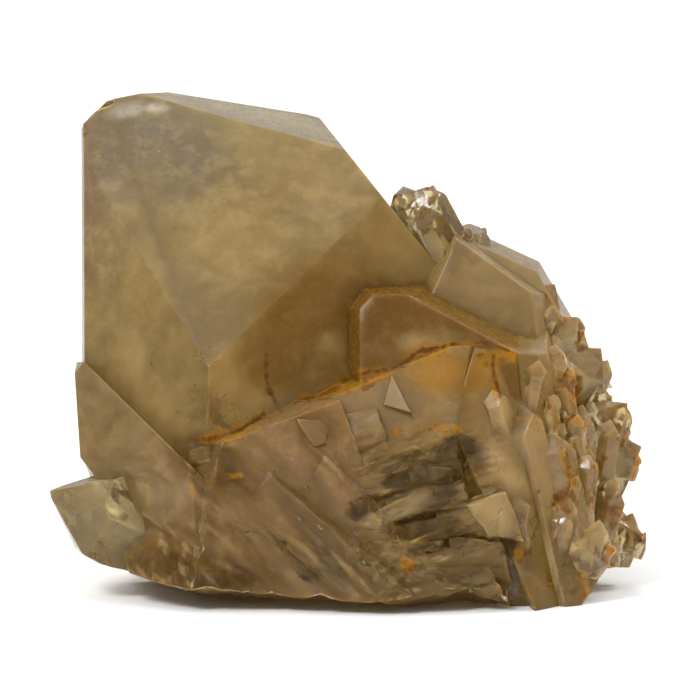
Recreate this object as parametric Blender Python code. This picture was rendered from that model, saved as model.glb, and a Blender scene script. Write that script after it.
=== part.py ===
"""A citrine cluster: one large smoky-yellow quartz crystal standing on a mass of fused
columns, with smaller crystals fanning out to the right and behind. The crystals grew
together, so the finished object is one solid."""

import math
import random

import bmesh
import bpy
from mathutils import Matrix, Vector

# The crystals are laid out in millimetres on an upright board: right, back (away from
# the front of the cluster) and up. The board leans back before the base is cut level.
MM = 0.001
LEAN = math.radians(8)
BASE_LEVEL = 5.57  # height of the level base, after the lean, above the board's zero

QUARTZ_SLOPE = math.radians(51.8)  # how far a point face looks away from the long axis
TAPER = math.radians(1.5)  # the side faces close in towards the point by this much
BLOCK = 400.0  # side of the rough block that a faceted crystal is cut from
SHORTEST_EDGE = 0.02  # shorter edges, left where crystals meet, are closed up

# A faceted crystal is a list of its flat faces: a point on the face and where it looks,
# both as right, back and up.
MAIN_CRYSTAL = (
    ("big front point face", (-27.7, -31.7, 48.5), (-0.043, -0.817, 0.580)),
    ("left front point face", (-27.7, -31.7, 48.5), (-0.667, -0.732, 0.138)),
    ("right front side face", (-27.7, -31.7, 48.5), (0.440, -0.890, 0.140)),
    ("narrow left point face", (-53.2, -0.6, 90.0), (-1.000, -0.070, 0.004)),
    ("grey top point face", (-1.0, -2.4, 91.8), (0.224, -0.180, 0.957)),
    ("right side face", (-1.0, -2.4, 91.8), (0.780, -0.015, 0.620)),
    ("back top point face", (-7.7, 31.5, 99.8), (-0.122, 0.520, 0.847)),
    ("back right side face", (-6.5, 30.5, 99.2), (0.340, 0.810, 0.480)),
    ("back left point face", (-55.0, 31.0, 72.0), (-0.735, 0.583, 0.360)),
    ("back side face", (-10.0, 30.0, 60.0), (-0.440, 0.890, -0.140)),
    ("under left side face", (-52.0, 10.0, 44.0), (-0.780, 0.080, -0.620)),
    ("under front side face", (-24.0, -33.0, 26.0), (-0.340, -0.810, -0.480)),
    ("root", (24.0, 20.0, 9.0), (0.630, 0.190, -0.760)),
    ("broken tip", (-50.2, 4.0, 100.6), (-0.720, 0.000, 0.690)),
    ("worn tip edge", (-41.0, 8.0, 103.6), (-0.200, 0.050, 0.980)),
)

LEFT_CRYSTAL = (
    ("front face", (-32.0, -33.5, 34.0), (-0.600, -0.800, 0.020)),
    ("left point face", (-54.5, -14.0, 47.6), (-0.997, 0.000, -0.070)),
    ("top corner", (-53.6, -14.0, 48.8), (-0.760, -0.100, 0.640)),
    ("upper side face", (-53.0, -14.4, 49.6), (0.727, 0.097, 0.680)),
    ("lower corner", (-52.7, -14.0, 29.2), (-0.790, 0.000, -0.610)),
    ("lower side face", (-44.4, -20.0, 20.6), (-0.690, 0.250, -0.680)),
    ("lower bevel", (-44.4, -24.0, 21.8), (-0.690, -0.350, -0.630)),
    ("front limit", (-30.0, -34.5, 25.0), (0.100, -0.990, 0.080)),
    ("back face", (-45.0, 6.0, 36.0), (-0.200, 0.970, -0.050)),
    ("buried end", (-16.0, -20.0, 14.0), (0.700, 0.100, -0.700)),
)

LEANING_CRYSTAL = (
    ("pale top face", (21.4, -10.0, 73.6), (0.560, -0.160, 0.810)),
    ("front face", (30.0, -12.5, 62.0), (0.050, -0.970, 0.250)),
    ("left face", (20.6, -9.0, 73.6), (-0.800, -0.350, 0.460)),
    ("right end", (37.0, -9.0, 62.4), (0.930, -0.300, 0.200)),
    ("upper back face", (30.0, 3.5, 71.6), (0.450, 0.750, 0.480)),
    ("back face", (25.0, 14.0, 62.0), (-0.100, 0.990, 0.000)),
    ("under face", (28.0, 0.0, 44.0), (0.000, -0.200, -0.980)),
)

DARK_SHOULDER = (
    ("top face", (31.0, 14.0, 72.4), (0.410, -0.120, 0.900)),
    ("right face", (36.8, 2.0, 69.0), (0.870, -0.100, 0.500)),
    ("front face", (32.0, -3.0, 64.0), (0.100, -0.980, 0.150)),
    ("left face", (24.0, 4.0, 70.0), (-0.940, 0.000, 0.340)),
    ("back face", (32.0, 21.0, 64.0), (0.150, 0.970, 0.200)),
    ("under face", (32.0, 4.0, 44.0), (0.000, 0.000, -1.000)),
)

SMOKY_CRYSTAL = (
    ("front face", (10.0, -24.5, 54.0), (-0.050, -0.980, 0.190)),
    ("top left face", (7.0, -13.0, 64.2), (0.000, -0.150, 0.990)),
    ("top right face", (14.2, -13.0, 64.0), (0.420, -0.250, 0.870)),
    ("left face", (0.8, -20.0, 58.0), (-0.950, -0.300, 0.050)),
    ("upper left bevel", (2.8, -16.0, 63.4), (-0.700, -0.250, 0.660)),
    ("right end", (34.0, -20.0, 54.0), (0.900, -0.350, 0.200)),
    ("back face", (10.0, -6.0, 54.0), (0.000, 1.000, 0.000)),
    ("under face", (10.0, -20.0, 42.0), (-0.100, -0.300, -0.950)),
)

# The fused mass that the crystals stand on, as four blocks.
MIDDLE_MASS = (
    ("ledge", (0.0, -20.0, 46.3), (-0.360, -0.250, 0.900)),
    ("top", (18.0, -24.0, 52.8), (-0.040, -0.150, 0.990)),
    ("upper front", (10.0, -26.4, 50.0), (-0.060, -0.930, 0.360)),
    ("front", (5.0, -34.2, 20.0), (0.060, -0.992, 0.040)),
    ("lower front", (5.0, -35.4, 9.0), (0.000, -0.860, -0.500)),
    ("left", (-18.0, -20.0, 20.0), (-0.800, -0.500, -0.200)),
    ("right", (21.5, -30.9, 40.0), (0.800, -0.590, 0.080)),
    ("back", (0.0, -6.0, 20.0), (0.000, 1.000, 0.000)),
)

RIGHT_MASS = (
    ("top", (24.0, -24.0, 53.0), (0.150, -0.300, 0.950)),
    ("upper front", (32.0, -28.5, 40.0), (0.200, -0.930, 0.280)),
    ("front", (34.0, -33.5, 18.0), (0.120, -0.990, 0.060)),
    ("lower front", (38.0, -38.0, 7.0), (0.100, -0.930, -0.350)),
    ("right front", (43.0, -22.0, 25.0), (0.750, -0.650, 0.120)),
    ("right", (46.5, -15.0, 25.0), (0.960, -0.100, 0.250)),
    ("left", (20.6, -30.0, 40.0), (-0.955, 0.000, 0.296)),
    ("lower left", (24.0, -33.0, 28.0), (-0.900, -0.100, -0.400)),
    ("back", (30.0, -4.0, 20.0), (0.000, 1.000, 0.000)),
)

LEFT_MASS = (
    ("left front", (-31.0, -32.4, 25.0), (-0.600, -0.780, 0.180)),
    ("front", (-8.0, -35.0, 20.0), (0.050, -0.990, 0.060)),
    ("ledge", (-22.0, -31.0, 36.0), (-0.300, -0.300, 0.900)),
    ("top", (-20.0, -20.0, 42.0), (0.000, 0.000, 1.000)),
    ("upper left", (-40.0, -20.0, 38.0), (-0.600, -0.200, 0.770)),
    ("left", (-49.0, -10.0, 20.0), (-0.940, -0.100, -0.330)),
    ("right", (6.0, 0.0, 20.0), (0.940, 0.000, 0.340)),
    ("back", (-20.0, 6.0, 20.0), (-0.300, 0.950, 0.050)),
)

REAR_MASS = (
    ("front", (0.0, -12.0, 30.0), (0.000, -1.000, 0.000)),
    ("top", (10.0, 4.0, 58.0), (0.100, 0.150, 0.980)),
    ("upper right", (39.0, 0.0, 52.0), (0.720, 0.000, 0.700)),
    ("right", (45.0, 0.0, 30.0), (0.980, 0.000, 0.200)),
    ("left", (-38.0, 0.0, 20.0), (-0.980, 0.000, 0.150)),
    ("under left", (-35.0, 0.0, 5.0), (-0.650, 0.000, -0.760)),
    ("upper back", (0.0, 20.0, 46.0), (0.000, 0.760, 0.650)),
    ("back", (0.0, 30.0, 20.0), (0.000, 0.985, 0.170)),
    ("back left", (-30.0, 22.0, 20.0), (-0.700, 0.710, 0.080)),
    ("back right", (36.0, 20.0, 20.0), (0.690, 0.700, 0.150)),
    ("under back", (0.0, 27.0, 6.0), (0.000, 0.740, -0.670)),
)

# What has broken away under the front edge, so that the base is not a straight line.
UNDER_LEFT_END = (
    ("roof", (-31.0, -26.0, 4.3), (0.300, 0.020, 0.950)),
    ("right", (-30.0, 0.0, 0.0), (1.000, 0.000, 0.000)),
)

UNDER_LEFT_FRONT = (
    ("roof", (-31.0, -26.0, 4.3), (0.065, 0.060, 0.990)),
    ("left", (-32.0, 0.0, 0.0), (-1.000, 0.000, 0.000)),
)

FRONT_NOTCH = (
    ("left roof", (23.0, -28.0, 3.6), (-0.190, 0.200, 0.960)),
    ("right roof", (23.0, -28.0, 3.6), (0.260, 0.200, 0.940)),
)

UNDER_RIGHT_END = (
    ("wall", (44.6, 0.0, 0.6), (-0.820, 0.000, 0.570)),
    ("roof", (51.0, 0.0, 8.0), (-0.100, 0.050, 0.990)),
)

FACETED = {
    "main crystal": MAIN_CRYSTAL,
    "left crystal": LEFT_CRYSTAL,
    "leaning crystal": LEANING_CRYSTAL,
    "dark shoulder": DARK_SHOULDER,
    "smoky crystal": SMOKY_CRYSTAL,
    "middle mass": MIDDLE_MASS,
    "right mass": RIGHT_MASS,
    "left mass": LEFT_MASS,
    "rear mass": REAR_MASS,
}

BROKEN_AWAY = {
    "under left end": UNDER_LEFT_END,
    "under left front": UNDER_LEFT_FRONT,
    "front notch": FRONT_NOTCH,
    "under right end": UNDER_RIGHT_END,
}


def cut(bm, point, normal):
    """Takes away what lies beyond a plane and closes the cut with one flat face."""
    everything = bm.verts[:] + bm.edges[:] + bm.faces[:]
    done = bmesh.ops.bisect_plane(
        bm, geom=everything, dist=1e-5, plane_co=point, plane_no=normal, clear_outer=True
    )
    rim = [g for g in done["geom_cut"] if isinstance(g, bmesh.types.BMEdge)]
    if rim:
        bmesh.ops.contextual_create(bm, geom=rim)


def finish(bm, name):
    """Makes an object of the shape, still on the board and in millimetres."""
    bmesh.ops.recalc_face_normals(bm, faces=bm.faces[:])
    mesh = bpy.data.meshes.new(name)
    bm.to_mesh(mesh)
    bm.free()
    return bpy.data.objects.new(name, mesh)


def faceted(name, faces):
    """A crystal cut from a block by its flat faces."""
    bm = bmesh.new()
    bmesh.ops.create_cube(bm, size=BLOCK)
    for _, point, looks in faces:
        cut(bm, Vector(point), Vector(looks).normalized())
    return finish(bm, name)


def pointed(name, tip, swing, forward, width, length, roll=0, flat=1.0, uneven=0.25, blunt=0.0):
    """A six-sided crystal ending in a point. swing leans it right of upright and forward
    tips it towards the front, in degrees. width is across the sides, flat squeezes it
    front to back, uneven makes its faces differ and blunt breaks its tip off."""
    rng = random.Random(name)
    half = width / 2
    bm = bmesh.new()
    bmesh.ops.create_cone(
        bm, cap_ends=True, segments=6, depth=length + 2 * width, radius1=width, radius2=width
    )
    bmesh.ops.translate(bm, vec=(0, 0, width - length / 2), verts=bm.verts[:])
    for k in range(6):
        angle = math.radians(60 * k)
        side = Vector((math.cos(angle), math.sin(angle), 0))
        lift = 0.0 if k % 2 == 0 else uneven * half * rng.uniform(0.4, 1.2)
        lift += uneven * half * rng.uniform(0.0, 0.5)
        out = half * rng.uniform(1.0 - 0.5 * uneven, 1.0)
        point_face = side * math.sin(QUARTZ_SLOPE) + Vector((0, 0, math.cos(QUARTZ_SLOPE)))
        side_face = side * math.cos(TAPER) + Vector((0, 0, math.sin(TAPER)))
        cut(bm, point_face * lift, point_face)
        cut(bm, side * out, side_face)
    top = max(v.co.z for v in bm.verts)
    if blunt:
        slant = Vector((rng.uniform(-0.4, 0.4), rng.uniform(-0.4, 0.4), 1.0)).normalized()
        cut(bm, Vector((0, 0, top - blunt)), slant)
    bmesh.ops.translate(bm, vec=(0, 0, -top), verts=bm.verts[:])
    turn = Matrix.Diagonal((1.0, flat, 1.0, 1.0)) @ Matrix.Rotation(math.radians(roll), 4, "Z")
    lean = Matrix.Rotation(math.radians(swing), 4, "Y")
    tip_over = Matrix.Rotation(math.radians(forward), 4, "X")
    bm.transform(Matrix.Translation(Vector(tip)) @ lean @ tip_over @ turn)
    return finish(bm, name)


# Each row: name, tip (right, back, up), swing, forward, width, length, then any of
# roll, flat, uneven and blunt.
UPPER_RIGHT = (
    ("shoulder crystal", (10.0, -2, 85.0), -27, 10, 8.0, 34, dict(roll=10, blunt=1.2)),
    ("shoulder twin", (13.6, -4, 84.8), -27, 12, 7.0, 34, dict(roll=25, blunt=1.0)),
    ("shoulder front twin", (14.2, -8, 80.6), -27, 14, 6.0, 20, dict(roll=5)),
    ("cap crystal", (24.0, 9, 77.4), 5, -35, 9.0, 30, dict(roll=30)),
    ("right step one", (41.0, 0, 65.0), 32, 5, 7.5, 32, dict(roll=20)),
    ("right step two", (45.2, -2, 58.6), 36, 10, 8.5, 34, dict(roll=0)),
    ("right step three", (50.4, -2, 52.0), 38, 8, 9.5, 36, dict(roll=15)),
    ("right step four", (55.4, -3, 41.2), 55, 10, 10.0, 36, dict(roll=40)),
    ("right step five", (58.4, -3, 32.2), 62, 8, 13.0, 40, dict(roll=10)),
    ("right pod", (59.2, -8, 13.8), 95, 15, 11.0, 34, dict(roll=25, blunt=0.8)),
    ("low right knob", (50.5, -4, 7.8), 110, 10, 8.0, 24, dict(roll=5, blunt=1.0)),
)

FRONT_RIGHT = (
    ("slim upright one", (41.6, -20, 46.8), -6, 4, 4.4, 26, dict(roll=20)),
    ("slim upright two", (39.0, -24, 42.6), -8, 6, 3.4, 24, dict(roll=5)),
    ("slim upright three", (44.8, -22, 38.4), 2, 6, 3.4, 22, dict(roll=30)),
    ("grey upright", (46.4, -17, 41.0), 16, 8, 7.0, 28, dict(roll=12)),
    ("outer upright", (51.6, -12, 38.0), 10, 6, 5.0, 26, dict(roll=0)),
    ("low upright one", (45.8, -24, 31.0), 0, 8, 3.8, 24, dict(roll=22)),
    ("low upright two", (52.6, -15, 26.4), 18, 12, 6.6, 22, dict(roll=8)),
    ("step upright", (40.5, -17, 53.0), 10, 0, 8.0, 30, dict(roll=30)),
    ("column", (27.6, -29.5, 44.0), -20, 10, 5.4, 40, dict(roll=15, uneven=0.4)),
    ("tall face one", (33.0, -28.5, 41.0), -14, 6, 9.0, 44, dict(roll=0, uneven=0.5)),
    ("tall face two", (39.5, -27.5, 36.0), -10, 8, 8.0, 40, dict(roll=20, uneven=0.5)),
    ("pale foot", (30.6, -33, 24.6), -8, 22, 10.0, 30, dict(roll=30, uneven=0.5)),
    ("pale round end", (47.2, -31.5, 14.0), 20, 70, 9.6, 34, dict(roll=15, blunt=1.6)),
    ("front shoulder", (25.0, -22, 50.5), -10, 20, 13.0, 40, dict(roll=10, uneven=0.5)),
)

LOWER_LEFT = (
    ("clear crystal", (-59.2, -21, 24.2), -66, 12, 18.0, 56, dict(roll=0, uneven=0.12)),
    ("milky column one", (-35.0, -25.6, 27.5), -48, -3, 13.0, 66, dict(roll=12, uneven=0.4)),
    ("milky column two", (-37.0, -25.0, 17.0), -52, -4, 12.0, 52, dict(roll=30, uneven=0.4)),
    ("milky column three", (-31.0, -27.2, 24.0), -50, -6, 14.0, 56, dict(roll=5, uneven=0.5)),
    ("milky column four", (-25.0, -27.8, 31.0), -47, -5, 15.0, 60, dict(roll=25, uneven=0.5)),
    ("milky column five", (-19.0, -28.8, 27.0), -45, -6, 13.0, 52, dict(roll=0, uneven=0.5)),
    ("milky column six", (-13.0, -27.4, 33.0), -43, -5, 15.0, 56, dict(roll=18, uneven=0.5)),
    ("milky column seven", (-6.0, -27.8, 28.0), -42, -7, 13.0, 44, dict(roll=40, uneven=0.5)),
    ("low left foot", (-47.0, -19, 12.0), -70, 10, 12.0, 48, dict(roll=10, uneven=0.3)),
)

REAR = (
    ("rear twin", (-36.0, 26, 84.0), -39, 8, 24.0, 76, dict(roll=8, uneven=0.3)),
    ("rear step", (-14.0, 36, 72.0), -41, 4, 18.0, 66, dict(roll=20, uneven=0.3)),
    ("rear low step", (-43.0, 20, 54.0), -44, -2, 17.0, 54, dict(roll=0, uneven=0.3)),
    ("rear right step", (10.0, 38, 62.0), -30, -6, 15.0, 54, dict(roll=35, uneven=0.3)),
    ("rear small step", (-26.0, 36, 50.0), -44, -14, 12.0, 44, dict(roll=12, uneven=0.3)),
)

# Pale flakes that stand a little proud of the front: outline (right, up) in order round
# the flake, how far forward its front is, and how the front tilts.
FLAKES = {
    "seam flake": (
        ((6.4, 41.0), (8.2, 46.8), (12.4, 39.2)), -31.0, (-0.3, 0.2)
    ),
    "left flake": (
        ((-10.6, 38.4), (-6.0, 38.2), (-4.2, 36.2), (-5.0, 33.6), (-7.0, 33.0)), -34.6, (0.25, 0.2)
    ),
    "fibrous flake": (
        ((3.0, 19.4), (14.0, 24.8), (16.4, 24.6), (16.8, 22.0), (12.0, 18.6), (4.4, 17.6)), -35.2, (0.0, 0.1)
    ),
    "pale plate": (
        ((22.6, 21.6), (31.0, 24.4), (32.4, 19.6), (35.0, 14.2), (27.0, 15.4)), -36.0, (0.1, 0.05)
    ),
}
FLAKE_DEPTH = 6.0
FLAKE_TAPER = 0.12  # how much the sides of a flake close in towards its front

LEDGE_COUNT = 14  # broken ledges across the middle of the front
LEDGE_SEED = 5
LEDGE_FROM = Vector((2.0, -31.2, 8.0))
LEDGE_TO = Vector((26.0, -27.6, 35.0))
LEDGE_HALF = ((4.0, 8.0), (4.0, 5.5), (1.2, 2.6))  # half sizes: across, deep, high
LEDGE_TILT = (-0.35, 0.1)  # how far a ledge dips to one side, in radians
LEDGE_TURN = 0.2
LEDGE_SIDES = (  # where a ledge's sides look, before each is turned a little
    (1.0, 0.0, 0.3),
    (-1.0, -0.2, -0.4),
    (0.0, -1.0, 0.45),
    (0.0, -1.0, -0.35),
    (0.0, 0.1, 1.0),
    (0.0, 0.0, -1.0),
    (0.0, 1.0, 0.0),
)


def flake(name, outline, front, tilt):
    """A thin splinter cut from a block by the sides of its outline and a tilted front."""
    middle = sum((Vector(p) for p in outline), Vector((0, 0))) / len(outline)
    tall = Vector((middle.x, front, middle.y))
    faces = [("front", tall, Vector((tilt[0], -1.0, tilt[1])).normalized())]
    faces.append(("back", tall + Vector((0, FLAKE_DEPTH, 0)), Vector((0, 1, 0))))
    for k, (right, up) in enumerate(outline):
        to_right, to_up = outline[(k + 1) % len(outline)]
        looks = Vector((-(to_up - up), 0, to_right - right)).normalized()
        looks.y = -FLAKE_TAPER
        faces.append(("side", Vector((right, front + 1.0, up)), looks.normalized()))
    return faceted(name, faces)


def broken_ledges():
    """Splintered slabs, longer across than high, along the broken middle of the front."""
    rng = random.Random(LEDGE_SEED)
    made = []
    for k in range(LEDGE_COUNT):
        high = (k + rng.random()) / LEDGE_COUNT
        across = rng.random()
        middle = LEDGE_FROM.lerp(LEDGE_TO, high)
        middle.x = LEDGE_FROM.x + (LEDGE_TO.x - LEDGE_FROM.x) * across
        half = Vector([rng.uniform(small, large) for small, large in LEDGE_HALF])
        tilt = rng.uniform(*LEDGE_TILT)
        faces = []
        for side in LEDGE_SIDES:
            turned = [rng.uniform(-LEDGE_TURN, LEDGE_TURN) for _ in range(3)]
            looks = Vector(side) + Vector(turned)
            looks.rotate(Matrix.Rotation(tilt, 3, "Y"))
            looks.normalize()
            reach = sum(abs(looks[i]) * half[i] for i in range(3)) * rng.uniform(0.75, 1.0)
            faces.append(("side", middle + looks * reach, looks))
        made.append(faceted(f"ledge {k}", faces))
    return made


BACK_COUNT = 26  # smaller crystals fanning out over the back and the far sides
BACK_CENTRE = Vector((5.0, 4.0, 14.0))
BACK_REACH = Vector((41.0, 39.0, 42.0))
BACK_SEED = 11
BACK_FROM = -25  # the first crystal's bearing, in degrees from the right round the back
BACK_TO = 147
BACK_CLIMBS = (8, 52, 28, 70)  # degrees above level, in turn
BACK_LIFT = 8.0  # how much the crystals turn upward, against a reach of about 40
BACK_WIDTH = (9.0, 17.0)


def back_crystals():
    """Crystals of mixed sizes that fan out of the back of the mass."""
    rng = random.Random(BACK_SEED)
    made = []
    for k in range(BACK_COUNT):
        share = (k + rng.uniform(0.2, 0.8)) / BACK_COUNT
        around = math.radians(BACK_FROM + (BACK_TO - BACK_FROM) * share)
        climb = math.radians(BACK_CLIMBS[k % len(BACK_CLIMBS)] + rng.uniform(-8, 8))
        level = math.cos(climb)
        way = Vector((math.cos(around) * level, math.sin(around) * level, math.sin(climb)))
        reach = Vector([w * r for w, r in zip(way, BACK_REACH)])
        tip = BACK_CENTRE + reach * rng.uniform(0.92, 1.06)
        axis = (reach + Vector((0, 0, BACK_LIFT))).normalized()
        forward = math.degrees(math.asin(-axis.y))
        swing = math.degrees(math.atan2(axis.x, axis.z))
        width = rng.uniform(*BACK_WIDTH)
        length = reach.length * 0.9
        name = f"back crystal {k}"
        made.append(pointed(name, tip, swing, forward, width, length, roll=rng.uniform(0, 60)))
    return made


def all_crystals():
    """Every crystal and block of the cluster, on the board."""
    made = [faceted(name, faces) for name, faces in FACETED.items()]
    for group in (UPPER_RIGHT, FRONT_RIGHT, LOWER_LEFT, REAR):
        for name, tip, swing, forward, width, length, more in group:
            made.append(pointed(name, tip, swing, forward, width, length, **more))
    made += [flake(name, *shape) for name, shape in FLAKES.items()]
    return made + broken_ledges() + back_crystals()


def joined(operation, first, others, name):
    """One mesh from the first shape and the others, by exact union or difference."""
    workshop = bpy.data.collections.new(name)
    workshop.hide_render = True
    bpy.context.scene.collection.children.link(workshop)
    for shape in others:
        shape.display_type = "WIRE"
        shape.hide_render = True
        workshop.objects.link(shape)
    bpy.context.scene.collection.objects.link(first)
    work = first.modifiers.new(name, "BOOLEAN")
    work.operation = operation
    work.operand_type = "COLLECTION"
    work.collection = workshop
    work.solver = "EXACT"
    graph = bpy.context.evaluated_depsgraph_get()
    graph.update()
    mesh = bpy.data.meshes.new_from_object(first.evaluated_get(graph))
    for shape in [first] + list(others):
        bpy.data.objects.remove(shape)
    bpy.data.collections.remove(workshop)
    return mesh


def fill_pockets(bm):
    """Keeps the outer skin and drops any small pocket closed up inside it."""
    left = set(bm.verts)
    shells = []
    while left:
        shell = set()
        edge = [left.pop()]
        while edge:
            here = edge.pop()
            shell.add(here)
            for link in here.link_edges:
                there = link.other_vert(here)
                if there in left:
                    left.discard(there)
                    edge.append(there)
        shells.append(shell)
    shells.sort(key=len)
    for shell in shells[:-1]:
        bmesh.ops.delete(bm, geom=list(shell), context="VERTS")


def citrine_material():
    """Warm clear quartz."""
    material = bpy.data.materials.new("citrine")
    material.use_nodes = True
    shader = material.node_tree.nodes["Principled BSDF"]
    shader.inputs["Base Color"].default_value = (0.45, 0.30, 0.12, 1.0)
    shader.inputs["Roughness"].default_value = 0.15
    shader.inputs["IOR"].default_value = 1.544
    shader.inputs["Transmission Weight"].default_value = 0.6
    return material


def main():
    for old in bpy.data.objects[:]:
        bpy.data.objects.remove(old)
    cluster = bpy.data.collections.new("citrine_cluster")
    bpy.context.scene.collection.children.link(cluster)
    crystals = all_crystals()
    union = joined("UNION", crystals[0], crystals[1:], "grown_together")
    grown = bpy.data.objects.new("grown", union)
    gaps = [faceted(name, faces) for name, faces in BROKEN_AWAY.items()]
    mesh = joined("DIFFERENCE", grown, gaps, "broken_away")
    mesh.name = "citrine_cluster"

    bm = bmesh.new()
    bm.from_mesh(mesh)
    bm.transform(Matrix.Rotation(-LEAN, 4, "X"))
    cut(bm, Vector((0, 0, BASE_LEVEL)), Vector((0, 0, -1)))
    fill_pockets(bm)
    bmesh.ops.triangulate(bm, faces=bm.faces[:])
    bmesh.ops.dissolve_degenerate(bm, edges=bm.edges[:], dist=SHORTEST_EDGE)
    low = Vector([min(v.co[i] for v in bm.verts) for i in range(3)])
    high = Vector([max(v.co[i] for v in bm.verts) for i in range(3)])
    to_origin = Vector((-(low.x + high.x) / 2, -(low.y + high.y) / 2, -low.z))
    bmesh.ops.translate(bm, vec=to_origin, verts=bm.verts[:])
    bmesh.ops.scale(bm, vec=(MM, MM, MM), verts=bm.verts[:])
    bmesh.ops.recalc_face_normals(bm, faces=bm.faces[:])
    bm.to_mesh(mesh)
    bm.free()
    mesh.materials.clear()
    mesh.materials.append(citrine_material())
    cluster.objects.link(bpy.data.objects.new("citrine_cluster", mesh))


main()
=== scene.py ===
import math
import random
import time

import bmesh
import bpy
import numpy as np
from mathutils import Matrix, Vector, noise


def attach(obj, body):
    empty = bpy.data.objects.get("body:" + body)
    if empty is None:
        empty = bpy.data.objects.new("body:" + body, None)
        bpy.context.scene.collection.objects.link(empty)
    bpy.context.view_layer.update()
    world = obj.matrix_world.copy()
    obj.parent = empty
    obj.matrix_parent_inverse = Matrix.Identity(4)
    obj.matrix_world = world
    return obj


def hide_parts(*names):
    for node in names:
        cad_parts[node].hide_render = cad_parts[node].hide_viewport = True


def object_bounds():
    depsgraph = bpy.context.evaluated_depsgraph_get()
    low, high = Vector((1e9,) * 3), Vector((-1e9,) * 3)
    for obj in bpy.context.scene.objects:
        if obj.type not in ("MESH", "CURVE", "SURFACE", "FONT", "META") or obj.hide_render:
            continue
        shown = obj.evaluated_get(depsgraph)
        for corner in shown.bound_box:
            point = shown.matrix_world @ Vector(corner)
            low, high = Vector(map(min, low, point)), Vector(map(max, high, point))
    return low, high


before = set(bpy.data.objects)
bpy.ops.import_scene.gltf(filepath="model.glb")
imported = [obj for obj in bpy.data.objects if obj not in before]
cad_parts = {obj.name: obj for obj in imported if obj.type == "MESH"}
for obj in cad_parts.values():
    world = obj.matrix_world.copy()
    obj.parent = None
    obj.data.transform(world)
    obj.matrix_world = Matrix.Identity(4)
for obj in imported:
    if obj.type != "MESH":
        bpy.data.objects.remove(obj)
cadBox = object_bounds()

started = time.time()


def report(*words):
    print(*words, round(time.time() - started, 1))


# Crystals are made in millimetres on an upright board (right, back, up), as in the solid,
# and the finished cluster is leaned back, cut level and set on the floor.
board = {
    "lean": math.radians(8),
    "baseLevel": 5.57,
    "toOrigin": (0.1832, -7.6288, -5.57),
    "millimetre": 0.001,
}


def clearSelection():
    for thing in bpy.context.selected_objects:
        thing.select_set(False)


def onlySelect(thing):
    clearSelection()
    thing.select_set(True)
    bpy.context.view_layer.objects.active = thing


def cutFlat(point, looks):
    bpy.ops.mesh.select_all(action="SELECT")
    bpy.ops.mesh.bisect(plane_co=point, plane_no=looks, use_fill=True, clear_outer=True)


# the cube that a crystal is cut from, and how many roundings long an edge is before it is rounded
blank = {"size": 400, "roundedFrom": 3}


def roundEdges(thing, width, steps):
    # short edges stay sharp, so that a rounding is never squeezed
    shape = bmesh.from_edit_mesh(thing.data)
    for face in shape.faces:
        face.select_set(False)
    for edge in shape.edges:
        edge.select_set(edge.calc_length() > blank["roundedFrom"] * width)
    shape.select_flush_mode()
    bmesh.update_edit_mesh(thing.data)
    bpy.ops.mesh.bevel(offset=width, segments=steps, profile=0.5, affect="EDGES", clamp_overlap=True)


def named(name, kind):
    # a marker material tells the kinds of crystal apart once they are joined
    marker = "kind." + kind
    thing = bpy.context.active_object
    thing.name = name
    thing.data.materials.clear()
    thing.data.materials.append(bpy.data.materials.get(marker) or bpy.data.materials.new(marker))
    return thing


def setAside(thing):
    # out of every collection until it is combined, which keeps the steps in between quick
    for home in list(thing.users_collection):
        home.objects.unlink(thing)
    return thing


def faceted(name, kind, faces, edge, steps=2):
    clearSelection()
    bpy.ops.mesh.primitive_cube_add(size=blank["size"])
    thing = named(name, kind)
    bpy.ops.object.mode_set(mode="EDIT")
    for point, looks in faces:
        cutFlat(point, Vector(looks).normalized())
    if edge:
        roundEdges(thing, edge, steps)
    bpy.ops.object.mode_set(mode="OBJECT")
    return setAside(thing)


# face: a point on it and where it looks
mainCrystal = {"kind": "main", "edge": 0.25, "faces": (
    ((-27.7, -31.7, 48.5), (-0.043, -0.817, 0.58)),
    ((-27.7, -31.7, 48.5), (-0.667, -0.732, 0.138)),
    ((-27.7, -31.7, 48.5), (0.44, -0.89, 0.14)),
    ((-53.2, -0.6, 90), (-1, -0.07, 0.004)),
    ((-1, -2.4, 91.8), (0.224, -0.18, 0.957)),
    ((-1, -2.4, 91.8), (0.78, -0.015, 0.62)),
    ((-7.7, 31.5, 99.8), (-0.122, 0.52, 0.847)),
    ((-6.5, 30.5, 99.2), (0.34, 0.81, 0.48)),
    ((-55, 31, 72), (-0.735, 0.583, 0.36)),
    ((-10, 30, 60), (-0.44, 0.89, -0.14)),
    ((-52, 10, 44), (-0.78, 0.08, -0.62)),
    ((-24, -33, 26), (-0.34, -0.81, -0.48)),
    ((24, 20, 9), (0.63, 0.19, -0.76)),
    ((-50.2, 4, 100.6), (-0.72, 0, 0.69)),
    ((-41, 8, 103.6), (-0.2, 0.05, 0.98)),
)}
leftCrystal = {"kind": "left", "edge": 0.2, "faces": (
    ((-32, -33.5, 34), (-0.6, -0.8, 0.02)),
    ((-54.5, -14, 47.6), (-0.997, 0, -0.07)),
    ((-53.6, -14, 48.8), (-0.76, -0.1, 0.64)),
    ((-53, -14.4, 49.6), (0.727, 0.097, 0.68)),
    ((-52.7, -14, 29.2), (-0.79, 0, -0.61)),
    ((-44.4, -20, 20.6), (-0.69, 0.25, -0.68)),
    ((-44.4, -24, 21.8), (-0.69, -0.35, -0.63)),
    ((-30, -34.5, 25), (0.1, -0.99, 0.08)),
    ((-45, 6, 36), (-0.2, 0.97, -0.05)),
    ((-16, -20, 14), (0.7, 0.1, -0.7)),
)}
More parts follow.
